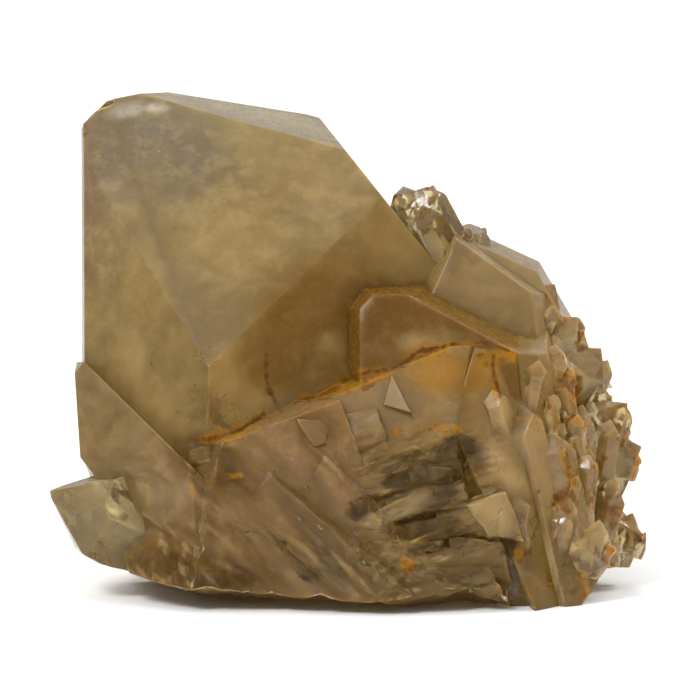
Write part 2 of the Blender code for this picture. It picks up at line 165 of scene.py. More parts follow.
leaningCrystal = {"kind": "leaning", "edge": 0.3, "faces": (
    ((21.4, -10, 73.6), (0.56, -0.16, 0.81)),
    ((30, -12.5, 62), (0.05, -0.97, 0.25)),
    ((20.6, -9, 73.6), (-0.8, -0.35, 0.46)),
    ((37, -9, 62.4), (0.93, -0.3, 0.2)),
    ((30, 3.5, 71.6), (0.45, 0.75, 0.48)),
    ((25, 14, 62), (-0.1, 0.99, 0)),
    ((28, 0, 44), (0, -0.2, -0.98)),
)}
darkShoulder = {"kind": "leaning", "edge": 0.3, "faces": (
    ((31, 14, 72.4), (0.41, -0.12, 0.9)),
    ((36.8, 2, 69), (0.87, -0.1, 0.5)),
    ((32, -3, 64), (0.1, -0.98, 0.15)),
    ((24, 4, 70), (-0.94, 0, 0.34)),
    ((32, 21, 64), (0.15, 0.97, 0.2)),
    ((32, 4, 44), (0, 0, -1)),
)}
smokyCrystal = {"kind": "smoky", "edge": 0.35, "faces": (
    ((10, -24.5, 54), (-0.05, -0.98, 0.19)),
    ((7, -13, 64.2), (0, -0.15, 0.99)),
    ((14.2, -13, 64), (0.42, -0.25, 0.87)),
    ((0.8, -20, 58), (-0.95, -0.3, 0.05)),
    ((2.8, -16, 63.4), (-0.7, -0.25, 0.66)),
    ((34, -20, 54), (0.9, -0.35, 0.2)),
    ((10, -6, 54), (0, 1, 0)),
    ((10, -20, 42), (-0.1, -0.3, -0.95)),
)}
middleMass = {"kind": "mass", "edge": 0.4, "faces": (
    ((0, -20, 46.3), (-0.36, -0.25, 0.9)),
    ((18, -24, 52.8), (-0.04, -0.15, 0.99)),
    ((10, -26.4, 50), (-0.06, -0.93, 0.36)),
    ((5, -34.2, 20), (0.06, -0.992, 0.04)),
    ((5, -35.4, 9), (0, -0.86, -0.5)),
    ((-18, -20, 20), (-0.8, -0.5, -0.2)),
    ((21.5, -30.9, 40), (0.8, -0.59, 0.08)),
    ((0, -6, 20), (0, 1, 0)),
)}
rightMass = {"kind": "mass", "edge": 0.4, "faces": (
    ((24, -24, 53), (0.15, -0.3, 0.95)),
    ((32, -28.5, 40), (0.2, -0.93, 0.28)),
    ((34, -33.5, 18), (0.12, -0.99, 0.06)),
    ((38, -38, 7), (0.1, -0.93, -0.35)),
    ((43, -22, 25), (0.75, -0.65, 0.12)),
    ((46.5, -15, 25), (0.96, -0.1, 0.25)),
    ((20.6, -30, 40), (-0.955, 0, 0.296)),
    ((24, -33, 28), (-0.9, -0.1, -0.4)),
    ((30, -4, 20), (0, 1, 0)),
)}
leftMass = {"kind": "milky", "edge": 0.4, "faces": (
    ((-31, -32.4, 25), (-0.6, -0.78, 0.18)),
    ((-8, -35, 20), (0.05, -0.99, 0.06)),
    ((-22, -31, 36), (-0.3, -0.3, 0.9)),
    ((-20, -20, 42), (0, 0, 1)),
    ((-40, -20, 38), (-0.6, -0.2, 0.77)),
    ((-49, -10, 20), (-0.94, -0.1, -0.33)),
    ((6, 0, 20), (0.94, 0, 0.34)),
    ((-20, 6, 20), (-0.3, 0.95, 0.05)),
)}
rearMass = {"kind": "back", "edge": 0.4, "faces": (
    ((0, -12, 30), (0, -1, 0)),
    ((10, 4, 58), (0.1, 0.15, 0.98)),
    ((39, 0, 52), (0.72, 0, 0.7)),
    ((45, 0, 30), (0.98, 0, 0.2)),
    ((-38, 0, 20), (-0.98, 0, 0.15)),
    ((-35, 0, 5), (-0.65, 0, -0.76)),
    ((0, 20, 46), (0, 0.76, 0.65)),
    ((0, 30, 20), (0, 0.985, 0.17)),
    ((-30, 22, 20), (-0.7, 0.71, 0.08)),
    ((36, 20, 20), (0.69, 0.7, 0.15)),
    ((0, 27, 6), (0, 0.74, -0.67)),
)}

# slopes of the point and the sides, how uneven the faces are, and the rounding of the edges
quartz = {
    "sides": 6, "slope": math.radians(51.8), "taper": math.radians(1.5),
    "otherFaces": (0.4, 1.2), "everyFace": (0.0, 0.5), "pinch": 0.5, "bluntSlant": 0.4,
    "edge": 0.05, "edgeShare": 0.008, "edgeSteps": 2,
}


def pointed(name, kind, tip, swing, forward, width, length, roll, uneven=0.25, blunt=0.0):
    # a six-sided crystal with a six-faced point; swing, forward and roll turn it, in degrees
    pick = random.Random(name)
    half = width / 2
    clearSelection()
    bpy.ops.mesh.primitive_cylinder_add(
        vertices=quartz["sides"], radius=width, depth=length + 2 * width,
        location=(0, 0, width - length / 2),
    )
    thing = named(name, kind)
    bpy.ops.object.mode_set(mode="EDIT")
    for k in range(quartz["sides"]):
        angle = math.radians(360 / quartz["sides"] * k)
        side = Vector((math.cos(angle), math.sin(angle), 0))
        lift = 0.0 if k % 2 == 0 else uneven * half * pick.uniform(*quartz["otherFaces"])
        lift += uneven * half * pick.uniform(*quartz["everyFace"])
        out = half * pick.uniform(1.0 - quartz["pinch"] * uneven, 1.0)
        pointFace = side * math.sin(quartz["slope"]) + Vector((0, 0, math.cos(quartz["slope"])))
        sideFace = side * math.cos(quartz["taper"]) + Vector((0, 0, math.sin(quartz["taper"])))
        cutFlat(pointFace * lift, pointFace)
        cutFlat(side * out, sideFace)
    shape = bmesh.from_edit_mesh(thing.data)
    top = max((thing.matrix_world @ corner.co).z for corner in shape.verts)
    if blunt:
        most = quartz["bluntSlant"]
        slant = Vector((pick.uniform(-most, most), pick.uniform(-most, most), 1.0)).normalized()
        cutFlat((0, 0, top - blunt), slant)
    roundEdges(thing, quartz["edge"] + quartz["edgeShare"] * width, quartz["edgeSteps"])
    bpy.ops.object.mode_set(mode="OBJECT")
    turn = Matrix.Rotation(math.radians(roll), 4, "Z")
    lean = Matrix.Rotation(math.radians(swing), 4, "Y") @ Matrix.Rotation(math.radians(forward), 4, "X")
    place = Matrix.Translation(Vector(tip)) @ lean @ turn @ Matrix.Translation((0, 0, -top))
    thing.matrix_world = place @ thing.matrix_world
    bpy.ops.object.transform_apply(location=True, rotation=True, scale=True)
    return setAside(thing)


# name, tip (right, back, up), swing, forward, width, length, roll, how uneven and how blunt
upperRight = (
    ("shoulder crystal", (10, -2, 85), -27, 10, 8, 34, 10, 0.25, 1.2),
    ("shoulder twin", (13.6, -4, 84.8), -27, 12, 7, 34, 25, 0.25, 1),
    ("shoulder front twin", (14.2, -8, 80.6), -27, 14, 6, 20, 5),
    ("cap crystal", (24, 9, 77.4), 5, -35, 9, 30, 30),
    ("right step one", (41, 0, 65), 32, 5, 7.5, 32, 20),
    ("right step two", (45.2, -2, 58.6), 36, 10, 8.5, 34, 0),
    ("right step three", (50.4, -2, 52), 38, 8, 9.5, 36, 15),
    ("right step four", (55.4, -3, 41.2), 55, 10, 10, 36, 40),
    ("right step five", (58.4, -3, 32.2), 62, 8, 13, 40, 10),
    ("right pod", (59.2, -8, 13.8), 95, 15, 11, 34, 25, 0.25, 0.8),
    ("low right knob", (50.5, -4, 7.8), 110, 10, 8, 24, 5, 0.25, 1),
)
frontRight = (
    ("slim upright one", (41.6, -20, 46.8), -6, 4, 4.4, 26, 20),
    ("slim upright two", (39, -24, 42.6), -8, 6, 3.4, 24, 5),
    ("slim upright three", (44.8, -22, 38.4), 2, 6, 3.4, 22, 30),
    ("grey upright", (46.4, -17, 41), 16, 8, 7, 28, 12),
    ("outer upright", (51.6, -12, 38), 10, 6, 5, 26, 0),
    ("low upright one", (45.8, -24, 31), 0, 8, 3.8, 24, 22),
    ("low upright two", (52.6, -15, 26.4), 18, 12, 6.6, 22, 8),
    ("step upright", (40.5, -17, 53), 10, 0, 8, 30, 30),
    ("column", (27.6, -29.5, 44), -20, 10, 5.4, 40, 15, 0.4),
    ("tall face one", (33, -28.5, 41), -14, 6, 9, 44, 0, 0.5),
    ("tall face two", (39.5, -27.5, 36), -10, 8, 8, 40, 20, 0.5),
    ("pale foot", (30.6, -33, 24.6), -8, 22, 10, 30, 30, 0.5),
    ("pale round end", (47.2, -31.5, 14), 20, 70, 9.6, 34, 15, 0.25, 1.6),
    ("front shoulder", (25, -22, 50.5), -10, 20, 13, 40, 10, 0.5),
)
lowerLeft = (
    ("clear crystal", (-59.2, -21, 24.2), -66, 12, 18, 56, 0, 0.12),
    ("milky column one", (-35, -25.6, 27.5), -48, -3, 13, 66, 12, 0.4),
    ("milky column two", (-37, -25, 17), -52, -4, 12, 52, 30, 0.4),
    ("milky column three", (-31, -27.2, 24), -50, -6, 14, 56, 5, 0.5),
    ("milky column four", (-25, -27.8, 31), -47, -5, 15, 60, 25, 0.5),
    ("milky column five", (-19, -28.8, 27), -45, -6, 13, 52, 0, 0.5),
    ("milky column six", (-13, -27.4, 33), -43, -5, 15, 56, 18, 0.5),
    ("milky column seven", (-6, -27.8, 28), -42, -7, 13, 44, 40, 0.5),
    ("low left foot", (-47, -19, 12), -70, 10, 12, 48, 10, 0.3),
)
rear = (
    ("rear twin", (-36, 26, 84), -39, 8, 24, 76, 8, 0.3),
    ("rear step", (-14, 36, 72), -41, 4, 18, 66, 20, 0.3),
    ("rear low step", (-43, 20, 54), -44, -2, 17, 54, 0, 0.3),
    ("rear right step", (10, 38, 62), -30, -6, 15, 54, 35, 0.3),
    ("rear small step", (-26, 36, 50), -44, -14, 12, 44, 12, 0.3),
)

# pale flakes that stand a little proud: outline (right, up), how far forward, and tilt
flakes = {
    "seam flake": (
        ((6.4, 41), (8.2, 46.8), (12.4, 39.2)),
        -31, (-0.3, 0.2),
    ),
    "left flake": (
        ((-10.6, 38.4), (-6, 38.2), (-4.2, 36.2), (-5, 33.6), (-7, 33)),
        -34.6, (0.25, 0.2),
    ),
    "fibrous flake": (
        ((3, 19.4), (14, 24.8), (16.4, 24.6), (16.8, 22), (12, 18.6), (4.4, 17.6)),
        -35.2, (0, 0.1),
    ),
    "pale plate": (
        ((22.6, 21.6), (31, 24.4), (32.4, 19.6), (35, 14.2), (27, 15.4)),
        -36, (0.1, 0.05),
    ),
}
flakeShape = {"depth": 6.0, "taper": 0.12, "edge": 0.15}


def flake(name, outline, front, tilt):
    middle = sum((Vector(p) for p in outline), Vector((0, 0))) / len(outline)
    tall = Vector((middle.x, front, middle.y))
    behind = tall + Vector((0, flakeShape["depth"], 0))
    faces = [(tall, Vector((tilt[0], -1.0, tilt[1]))), (behind, Vector((0, 1, 0)))]
    for k, (right, up) in enumerate(outline):
        toRight, toUp = outline[(k + 1) % len(outline)]
        looks = Vector((-(toUp - up), 0, toRight - right)).normalized()
        looks.y = -flakeShape["taper"]
        faces.append(((right, front + 1.0, up), looks))
    return faceted(name, "flake", faces, flakeShape["edge"], 1)


def jitter(pick, most):
    return Vector([pick.uniform(-most, most) for _ in range(3)])


def leanOf(way):
    # the swing and forward lean, in degrees, of a crystal that points this way
    return math.degrees(math.atan2(way.x, way.z)), math.degrees(math.asin(-way.y))


def reachOf(looks, half):
    # how far a block with these half sizes reaches along a direction
    return sum(abs(looks[i]) * half[i] for i in range(3))


# stepped blocks across the broken middle of the front: half sizes are along, deep and high
ledges = {
    "count": 14, "seed": 5, "edge": 0.15,
    "from": Vector((2.0, -31.2, 8.0)), "to": Vector((26.0, -27.6, 35.0)),
    "half": ((4.0, 8.0), (4.0, 5.5), (1.2, 2.6)),
    "tilt": (-0.35, 0.1), "turn": 0.2, "reach": (0.75, 1.0),
    "sides": (
        (1.0, 0.0, 0.3), (-1.0, -0.2, -0.4), (0.0, -1.0, 0.45), (0.0, -1.0, -0.35),
        (0.0, 0.1, 1.0), (0.0, 0.0, -1.0), (0.0, 1.0, 0.0),
    ),
}


def brokenLedges(spec):
    pick = random.Random(spec["seed"])
    made = []
    for k in range(spec["count"]):
        high = (k + pick.random()) / spec["count"]
        across = pick.random()
        middle = spec["from"].lerp(spec["to"], high)
        middle.x = spec["from"].x + (spec["to"].x - spec["from"].x) * across
        half = Vector([pick.uniform(small, large) for small, large in spec["half"]])
        tilt = pick.uniform(*spec["tilt"])
        faces = []
        for side in spec["sides"]:
            looks = Vector(side) + jitter(pick, spec["turn"])
            looks.rotate(Matrix.Rotation(tilt, 3, "Y"))
            looks.normalize()
            reach = reachOf(looks, half) * pick.uniform(*spec["reach"])
            faces.append((middle + looks * reach, looks))
        made.append(faceted(f"ledge {k}", "splinter", faces, spec["edge"], 1))
    return made


# crystals fanned over the back, between two directions around the centre, in degrees
backFan = {
    "count": 26, "seed": 11,
    "centre": Vector((5.0, 4.0, 14.0)), "reach": Vector((41.0, 39.0, 42.0)),
    "from": -25, "to": 147, "uneven": (0.2, 0.8), "climbs": (8, 52, 28, 70), "climbUneven": (-8, 8),
    "lift": 8.0, "width": (9.0, 17.0), "tipReach": (0.92, 1.06), "length": 0.9, "roll": (0, 60),
}


def backCrystals(spec):
    pick = random.Random(spec["seed"])
    made = []
    for k in range(spec["count"]):
        share = (k + pick.uniform(*spec["uneven"])) / spec["count"]
        around = math.radians(spec["from"] + (spec["to"] - spec["from"]) * share)
        climb = math.radians(spec["climbs"][k % len(spec["climbs"])] + pick.uniform(*spec["climbUneven"]))
        level = math.cos(climb)
        way = Vector((math.cos(around) * level, math.sin(around) * level, math.sin(climb)))
        reach = Vector([w * r for w, r in zip(way, spec["reach"])])
        tip = spec["centre"] + reach * pick.uniform(*spec["tipReach"])
        swing, forward = leanOf((reach + Vector((0, 0, spec["lift"]))).normalized())
        width = pick.uniform(*spec["width"])
        length = reach.length * spec["length"]
        roll = pick.uniform(*spec["roll"])
        made.append(pointed(f"back crystal {k}", "back", tip, swing, forward, width, length, roll))
    return made


def combine(operation, first, others):
    workshop = bpy.data.collections.new("workshop")
    bpy.context.scene.collection.children.link(workshop)
    for shape in others:
        workshop.objects.link(shape)
    if not first.users_collection:
        bpy.context.scene.collection.objects.link(first)
    step = first.modifiers.new("combine", "BOOLEAN")
    step.operation = operation
    step.operand_type = "COLLECTION"
    step.collection = workshop
    step.solver = "MANIFOLD"
    step.material_mode = "TRANSFER"
    onlySelect(first)
    bpy.ops.object.modifier_apply(modifier=step.name)
    for shape in list(others):
        bpy.data.objects.remove(shape)
    bpy.data.collections.remove(workshop)


# small crystals scattered on the flanks: how many, where, how wide, and which way they lean
smallCrystals = {
    "right flank": dict(
        kind="upright", count=100, seed=25, low=(36, -34, 6), high=(60, 4, 58),
        width=(2.0, 4.6), lean=(0.35, -0.2, 2.6),
    ),
    "back flank": dict(
        kind="back", count=54, seed=22, low=(-40, 6, 8), high=(52, 60, 60),
        width=(2.2, 5.4), lean=(0.1, 0.4, 1.0),
    ),
    "foot": dict(
        kind="upright", count=18, seed=23, low=(36, -40, 2), high=(58, -10, 16),
        width=(1.6, 3.2), lean=(0.6, -0.5, 0.5),
    ),
    "upper flank": dict(
        kind="upright", count=12, seed=24, low=(8, -14, 66), high=(40, 10, 86),
        width=(1.4, 3.0), lean=(0.2, -0.4, 1.2),
    ),
}
# the underside stays bare; sizes are in widths of the crystal
smallHabit = {
    "lowestSlope": -0.3, "outward": 1.1, "uneven": 0.4, "proud": (0.3, 0.9), "length": 2.5, "roll": (0, 60),
}


def surfacePlaces(mesh, spec):
    # points picked evenly by area on the faces inside a box, where they don't look down
    pick = random.Random(spec["seed"])
    inside = []
    for face in mesh.polygons:
        within = all(low < v < high for low, v, high in zip(spec["low"], face.center, spec["high"]))
        if within and face.normal.z > smallHabit["lowestSlope"]:
            inside.append(face)
    areas = [face.area for face in inside]
    for face in pick.choices(inside, weights=areas, k=spec["count"]):
        corners = [mesh.vertices[v].co for v in face.vertices]
        shares = [pick.random() for _ in corners]
        total = sum(shares)
        yield sum((c * s for c, s in zip(corners, shares)), Vector()) / total, face.normal.copy(), pick


def scatterSmall(mesh, name, spec):
    made = []
    for k, (place, out, pick) in enumerate(surfacePlaces(mesh, spec)):
        width = pick.uniform(*spec["width"])
        way = out * smallHabit["outward"] + Vector(spec["lean"]) + jitter(pick, smallHabit["uneven"])
        way.normalize()
        tip = place + way * width * pick.uniform(*smallHabit["proud"])
        swing, forward = leanOf(way)
        length = width * smallHabit["length"]
        roll = pick.uniform(*smallHabit["roll"])
        made.append(pointed(f"{name} {k}", spec["kind"], tip, swing, forward, width, length, roll))
    return made


# thin splinters along the broken middle of the front: half sizes, how they turn and how deep they sit
splinters = {
    "count": 12, "seed": 31, "low": (2.0, -38.0, 8.0), "high": (30.0, -27.0, 37.0),
    "half": ((2.0, 5.0), (0.3, 0.6), (0.15, 0.4)),
    "slope": (0.1, 0.42), "turn": 0.3, "uneven": 0.25, "sunk": 0.8, "reach": 0.8,
    "sides": ((1, 0, 0.4), (-1, 0, -0.5), (0, -1, 0.5), (0, -1, -0.7), (0, 0, 1), (0, 0, -1), (0, 1, 0)),
}


def fractureSplinters(mesh, spec):
    made = []
    for k, (place, out, pick) in enumerate(surfacePlaces(mesh, spec)):
        half = Vector([pick.uniform(small, large) for small, large in spec["half"]])
        slope = Matrix.Rotation(-pick.uniform(*spec["slope"]), 3, "Y")
        turn = slope @ Matrix.Rotation(pick.uniform(-spec["turn"], spec["turn"]), 3, "Z")
        middle = place - out * half.y * spec["sunk"]
        faces = []
        for side in spec["sides"]:
            looks = Vector(side) + jitter(pick, spec["uneven"])
            reach = reachOf(looks, half) * spec["reach"]
            looks = turn @ looks
            faces.append((middle + looks.normalized() * reach / looks.length, looks.normalized()))
        made.append(faceted(f"splinter {k}", "splinter", faces, 0))
    return made


# chips knocked off the edges: middles (right, back, up) at the tip, sizes, and how each is cut
chips = {
    "seed": 41,
    "tip": [(-53.6, 2, 95.6), (-53.0, 6, 97.2), (-51.2, 0, 97.9), (-49.6, 4, 99.4), (-49.4, 8, 101.2),
            (-47.6, 3, 102.2), (-45.6, 6, 102.8), (-44.0, 2, 103.4), (-50.6, -3, 96.4), (-48.2, -1, 98.8)],
    "tipSize": (1.6, 3.2),
    "edges": 46, "edgeSize": (0.7, 1.8), "edgeLength": 3, "sharpFrom": 0.25,
    "block": 0.6, "cuts": 9, "cutDepth": (0.35, 0.6),
}


def knockedOff(name, place, size, pick):
    sides = ((1, 0, 0), (-1, 0, 0), (0, 1, 0), (0, -1, 0), (0, 0, 1), (0, 0, -1))
    faces = [(place + Vector(side) * size * chips["block"], side) for side in sides]
    for _ in range(chips["cuts"]):
        looks = Vector([pick.gauss(0, 1) for _ in range(3)]).normalized()
        faces.append((place + looks * size * pick.uniform(*chips["cutDepth"]), looks))
    return faceted(name, "splinter", faces, 0)


def edgePlaces(mesh, pick, count):
    # places along the sharp outer edges
    shape = bmesh.new()
    shape.from_mesh(mesh)
    sharp = [
        e for e in shape.edges
        if len(e.link_faces) == 2 and e.calc_length() > chips["edgeLength"]
        and e.calc_face_angle_signed() > chips["sharpFrom"]
    ]
    lengths = [e.calc_length() for e in sharp]
    places = []
    for edge in pick.choices(sharp, weights=lengths, k=count):
        a, b = (v.co.copy() for v in edge.verts)
        places.append(a.lerp(b, pick.random()))
    shape.free()
    return places


crystals = []
for name, spec in (
    ("main crystal", mainCrystal), ("left crystal", leftCrystal), ("leaning crystal", leaningCrystal),
    ("dark shoulder", darkShoulder), ("smoky crystal", smokyCrystal), ("middle mass", middleMass),
    ("right mass", rightMass), ("left mass", leftMass), ("rear mass", rearMass),
):
    crystals.append(faceted(name, spec["kind"], spec["faces"], spec["edge"]))
for kind, rows in (("upper", upperRight), ("upright", frontRight), ("milky", lowerLeft), ("back", rear)):
    for name, *row in rows:
        crystals.append(pointed(name, "clear" if name == "clear crystal" else kind, *row))
crystals += [flake(name, *shape) for name, shape in flakes.items()]
crystals += brokenLedges(ledges)
crystals += backCrystals(backFan)
report("crystals", len(crystals))

# gaps under the cluster, each below two planes: a point on the plane and where it looks
brokenAway = {
    "under left end": (
        ((-31.0, -26.0, 4.3), (0.3, 0.02, 0.95)),
        ((-30.0, 0.0, 0.0), (1.0, 0.0, 0.0)),
    ),
    "under left front": (
        ((-31.0, -26.0, 4.3), (0.065, 0.06, 0.99)),
        ((-32.0, 0.0, 0.0), (-1.0, 0.0, 0.0)),
    ),
    "front notch": (
        ((23.0, -28.0, 3.6), (-0.19, 0.2, 0.96)),
        ((23.0, -28.0, 3.6), (0.26, 0.2, 0.94)),
    ),
    "under right end": (
        ((44.6, 0.0, 0.6), (-0.82, 0.0, 0.57)),
        ((51.0, 0.0, 8.0), (-0.1, 0.05, 0.99)),
    ),
}
cluster = crystals[0]
combine("UNION", cluster, crystals[1:])
small = []
for name, spec in smallCrystals.items():
    small += scatterSmall(cluster.data, name, spec)
small += fractureSplinters(cluster.data, splinters)
combine("UNION", cluster, small)
report("small crystals and splinters", len(small))
pick = random.Random(chips["seed"])
gaps = [faceted(name, "milky", faces, 0) for name, faces in brokenAway.items()]
for k, place in enumerate(chips["tip"]):
    gaps.append(knockedOff(f"tip chip {k}", Vector(place), pick.uniform(*chips["tipSize"]), pick))
for k, place in enumerate(edgePlaces(cluster.data, pick, chips["edges"])):
    gaps.append(knockedOff(f"edge chip {k}", place, pick.uniform(*chips["edgeSize"]), pick))
combine("DIFFERENCE", cluster, gaps)
report("broken away", len(cluster.data.polygons), "faces")

# leaned back and cut level
cluster.matrix_world = Matrix.Rotation(-board["lean"], 4, "X")
onlySelect(cluster)
bpy.ops.object.transform_apply(location=True, rotation=True, scale=True)
bpy.ops.object.mode_set(mode="EDIT")
cutFlat((0, 0, board["baseLevel"]), (0, 0, -1))
bpy.ops.object.mode_set(mode="OBJECT")


def keepOuterSkin(thing):
    # small pockets closed up inside the cluster are dropped
    shape = bmesh.new()
    shape.from_mesh(thing.data)
    left = set(shape.verts)
    shells = []
    while left:
        shell, edge = set(), [left.pop()]
        while edge:
            here = edge.pop()
            shell.add(here)
            for link in here.link_edges:
                there = link.other_vert(here)
                if there in left:
                    left.discard(there)
                    edge.append(there)
        shells.append(shell)
    shells.sort(key=len)
    for shell in shells[:-1]:
        bmesh.ops.delete(shape, geom=list(shell), context="VERTS")
    shape.to_mesh(thing.data)
    shape.free()
    print("pockets dropped", len(shells) - 1)


keepOuterSkin(cluster)

# (right, up) along the iron-stained seams, seen from the front
seams = (
    ((-14, 41.4), (-10, 41.8), (-6, 42.8), (-3, 44.2), (0, 46.4), (4, 47.6), (8, 48.2), (10, 48.8),
     (12, 50.2), (13, 51.4), (16, 52), (20, 52.8), (23, 53.4), (26, 53.2), (29, 52.6), (32, 51.4)),
    ((-16.4, 50.8), (-16.4, 46.8), (-16, 44.2), (-14.6, 41.4), (-13.4, 39.8)),
    ((-31, 34.2), (-28, 34.2), (-25, 35), (-22, 36), (-19, 37.6), (-16.4, 39.6)),
    ((28, 50.8), (28, 47.8), (29.4, 42.8)),
)


def farFrom(lines, places, farthest=99.0):
    # distance in millimetres from lines of (right, up) points, seen from the front
    right, up = places[:, 0], places[:, 2]
    nearest = np.full(len(places), farthest)
    for line in lines:
        for (ax, az), (bx, bz) in zip(line, line[1:]):
            dx, dz = bx - ax, bz - az
            t = np.clip(((right - ax) * dx + (up - az) * dz) / (dx * dx + dz * dz), 0, 1)
            nearest = np.minimum(nearest, np.hypot(right - ax - t * dx, up - az - t * dz))
    return nearest


def cornersOf(mesh):
    corners = np.empty(len(mesh.vertices) * 3)
    mesh.vertices.foreach_get("co", corners)
    return corners.reshape(-1, 3)


turnBack = np.array(Matrix.Rotation(board["lean"], 3, "X"))  # from the leaned cluster back to the board

# the longest edge to leave, short where there are stains and rough ground
fineness = {
    "merge": 0.05, "passes": 8, "anywhere": 3.6, "frontFrom": -14,
    # on the front: longest edge, then the zone's left, right and top
    "zones": ((1.8, -56, 40, 46), (1.1, -1, 35, 43)),
    "tip": {"longest": 1.6, "middle": (-50, 0, 99), "reach": 18},
    "seam": {"longest": 0.8, "reach": 2.6},
}


def edgeLength(places):
    right, back, up = places.T
    front = back < fineness["frontFrom"]
    tip, seam = fineness["tip"], fineness["seam"]
    longest = np.full(len(places), fineness["anywhere"])
    for length, left, far, top in fineness["zones"]:
        longest[front & (up < top) & (right > left) & (right < far)] = length
    longest[np.linalg.norm(places - np.array(tip["middle"]), axis=1) < tip["reach"]] = tip["longest"]
    longest[front & (farFrom(seams, places) < seam["reach"])] = seam["longest"]
    return longest


def intoTriangles():
    bpy.ops.mesh.select_all(action="SELECT")
    bpy.ops.mesh.quads_convert_to_tris(quad_method="BEAUTY", ngon_method="BEAUTY")


def refine(thing):
    # slivers are merged, then long edges are halved until the mesh is fine enough
    onlySelect(thing)
    bpy.ops.object.mode_set(mode="EDIT")
    bpy.ops.mesh.select_mode(type="EDGE")
    bpy.ops.mesh.select_all(action="SELECT")
    bpy.ops.mesh.remove_doubles(threshold=fineness["merge"])
    bpy.ops.mesh.dissolve_degenerate(threshold=fineness["merge"])
    bpy.ops.mesh.delete_loose()
    intoTriangles()
    for _ in range(fineness["passes"]):
        bpy.ops.mesh.select_all(action="DESELECT")
        bpy.ops.object.mode_set(mode="OBJECT")
        mesh = thing.data
        corners = cornersOf(mesh)
        ends = np.empty(len(mesh.edges) * 2, dtype=np.int32)
        mesh.edges.foreach_get("vertices", ends)
        a, b = corners[ends[0::2]], corners[ends[1::2]]
        long = np.linalg.norm(a - b, axis=1) > edgeLength((a + b) / 2 @ turnBack.T)
        mesh.edges.foreach_set("select", long)
        picked = np.zeros(len(corners), dtype=bool)
        picked[ends.reshape(-1, 2)[long].ravel()] = True
        mesh.vertices.foreach_set("select", picked)
        bpy.ops.object.mode_set(mode="EDIT")
        if not long.any():
            break
        bpy.ops.mesh.subdivide(number_cuts=1)
        intoTriangles()
    bpy.ops.object.mode_set(mode="OBJECT")


refine(cluster)
report("refined", len(cluster.data.polygons), "faces")

# where each corner lies on the board (right, back, up) and where it looks, for stains and rough ground
corners = cornersOf(cluster.data)
places = corners @ turnBack.T
outward = np.empty(len(places) * 3)
cluster.data.vertices.foreach_get("normal", outward)
outward = outward.reshape(-1, 3)
facing = outward @ turnBack.T
x, y, z = places.T


def soft(low, high, value):
    t = np.clip((value - low) / (high - low), 0, 1)
    return t * t * (3 - 2 * t)


def turned(right, up, angle):
    # the same places on a board turned by an angle in degrees, seen from the front
    a = math.radians(angle)
    return right * math.cos(a) + up * math.sin(a), up * math.cos(a) - right * math.sin(a)


def grown(size, stretch, turn):
    # coordinates in patches of that size, drawn out along a grain that leans by turn
    along, above = turned(x, z, turn)
    return np.stack([along, y, above], axis=1) * np.array(stretch) / size


def noisy(size, stretch=(1, 1, 1), seed=0.0, octaves=3, turn=0):
    # smooth noise around 0.5; size is that of a patch in millimetres
    scaled = grown(size, stretch, turn) + seed
    return np.array([noise.fractal(Vector(p), 0.6, 2.0, octaves) for p in scaled]) * 0.5 + 0.5


def blot(right, up, wide, high, lean, edge=0.45):
    # an oval patch seen from the front: 1 inside, 0 outside
    along, above = turned(x - right, z - up, lean)
    return soft(1 + edge, 1 - edge, np.hypot(along / wide, above / high))


def blots(ovals):
    return np.maximum.reduce([blot(*oval) for oval in ovals])


creases = {"reach": 6.0, "sharpFrom": -0.35, "steps": 8}


def fromCreases(thing):
    # distance along the surface from the inward corners where crystals meet
    shape = bmesh.new()
    shape.from_mesh(thing.data)
    far = np.full(len(shape.verts), creases["reach"])
    for edge in shape.edges:
        if len(edge.link_faces) == 2 and edge.calc_face_angle_signed() < creases["sharpFrom"]:
            for corner in edge.verts:
                far[corner.index] = 0
    ends = np.array([[e.verts[0].index, e.verts[1].index] for e in shape.edges])
    long = np.array([e.calc_length() for e in shape.edges])
    shape.free()
    a, b = ends.T
    for _ in range(creases["steps"]):
        np.minimum.at(far, a, far[b] + long)
        np.minimum.at(far, b, far[a] + long)
    return np.minimum(far, creases["reach"])


crease = fromCreases(cluster)

# zones of the surface, 1 inside and 0 outside
front = soft(-8, -16, y)
brokenFront = soft(0, 4, x + 1) * soft(0, 6, 33 - x) * soft(0, 6, 41 - z) * front
milkyFront = soft(10, 0, x + 0.15 * z) * soft(-54, -46, x) * soft(44, 36, z - 0.25 * x) * front
seen = soft(0.1, -0.25, facing[:, 1]) * soft(34, 14, y)
underside = soft(14, 5, z - 0.14 * y)
frostTip = soft(34, 8, np.hypot(x + 51, z - 97)) * soft(30, 0, y)
uprights = soft(24, 28, x) * soft(48, 42, z) * front
# rough ground: patch size, stretch, seed, lean of the grain, level that stays, height and zone
roughGround = (
    (3.4, (0.35, 1, 1.5), 3, 17, 0.5, 1.7, brokenFront),
    (8, (0.3, 1, 1.2), 7, -43, 0.55, 1.8, milkyFront),
    (6, (1, 1, 1), 12, 0, 0.5, 2.0, underside),
)
rippleLimits = {"deepest": -1.6, "highest": 0.25, "foot": 0.05}
ripple = np.zeros(len(x))
for size, stretch, seed, turn, level, height, zone in roughGround:
    ripple += (noisy(size, stretch, seed, turn=turn) - level) * height * zone
ripple = np.clip(ripple, rippleLimits["deepest"], rippleLimits["highest"])
ripple[corners[:, 2] < board["baseLevel"] + rippleLimits["foot"]] = 0
corners = corners + outward * ripple[:, None]
corners = (corners + np.array(board["toOrigin"])) * board["millimetre"]
corners[:, 2] = np.maximum(corners[:, 2], 0)
corners = np.clip(corners, np.array(cadBox[0]), np.array(cadBox[1]))
cluster.data.vertices.foreach_set("co", corners.ravel())
cluster.data.update()
report("rough ground")

